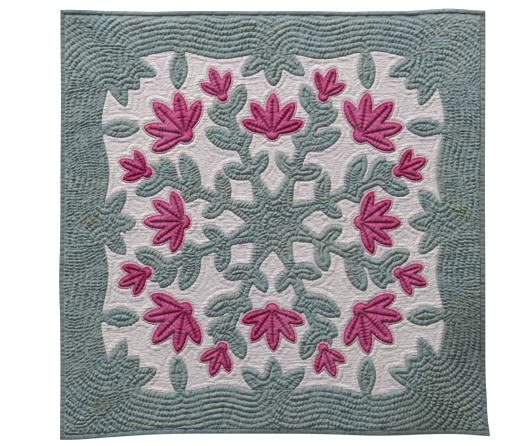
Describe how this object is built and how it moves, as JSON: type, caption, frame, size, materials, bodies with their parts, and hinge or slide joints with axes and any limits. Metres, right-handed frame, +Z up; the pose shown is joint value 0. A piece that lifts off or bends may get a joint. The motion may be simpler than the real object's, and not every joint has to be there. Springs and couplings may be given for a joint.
{
  "type": "quilt",
  "caption": "Square hand-quilted cotton quilt lying flat, with a leaf border, a leaf medallion and pink blossoms sewn on a cream ground, echo quilting and a bound edge.",
  "frame": {"origin": "under the middle of the quilt's box, on the surface that it lies on", "axes": "+Z up out of the face, +Y towards the quilt's top edge as pictured, +X to its right"},
  "size_m": [1.0822, 1.084, 0.0086],
  "materials": {
    "ground_cotton": "cream plain-woven cotton over wadding, puffed between hand-quilted rows",
    "leaf_cotton": "grey-green plain-woven cotton, raised between hand-quilted rows",
    "rim_cotton": "pale pink plain-woven cotton, a narrow rim round each blossom",
    "petal_cotton": "deep pink plain-woven cotton, puffed within its sewn edge",
    "binding_cotton": "grey-green plain-woven cotton strip, folded over the edge"
  },
  "bodies": {
    "root": {"quilt_body": "ground_cotton", "leaf_border": "leaf_cotton", "leaf_medallion": "leaf_cotton", "blossom_rim_1": "rim_cotton", "blossom_rim_2": "rim_cotton", "blossom_rim_3": "rim_cotton", "blossom_rim_4": "rim_cotton", "blossom_rim_5": "rim_cotton", "blossom_rim_6": "rim_cotton", "blossom_rim_7": "rim_cotton", "blossom_rim_8": "rim_cotton", "blossom_1": "petal_cotton", "blossom_2": "petal_cotton", "blossom_3": "petal_cotton", "blossom_4": "petal_cotton", "blossom_5": "petal_cotton", "blossom_6": "petal_cotton", "blossom_7": "petal_cotton", "blossom_8": "petal_cotton", "bud_rim_1": "rim_cotton", "bud_rim_2": "rim_cotton", "bud_rim_3": "rim_cotton", "bud_rim_4": "rim_cotton", "bud_rim_5": "rim_cotton", "bud_rim_6": "rim_cotton", "bud_rim_7": "rim_cotton", "bud_rim_8": "rim_cotton", "bud_1": "petal_cotton", "bud_2": "petal_cotton", "bud_3": "petal_cotton", "bud_4": "petal_cotton", "bud_5": "petal_cotton", "bud_6": "petal_cotton", "bud_7": "petal_cotton", "bud_8": "petal_cotton", "binding_top": "binding_cotton", "binding_left": "binding_cotton", "binding_bottom": "binding_cotton", "binding_right": "binding_cotton"}
  },
  "joints": []
}
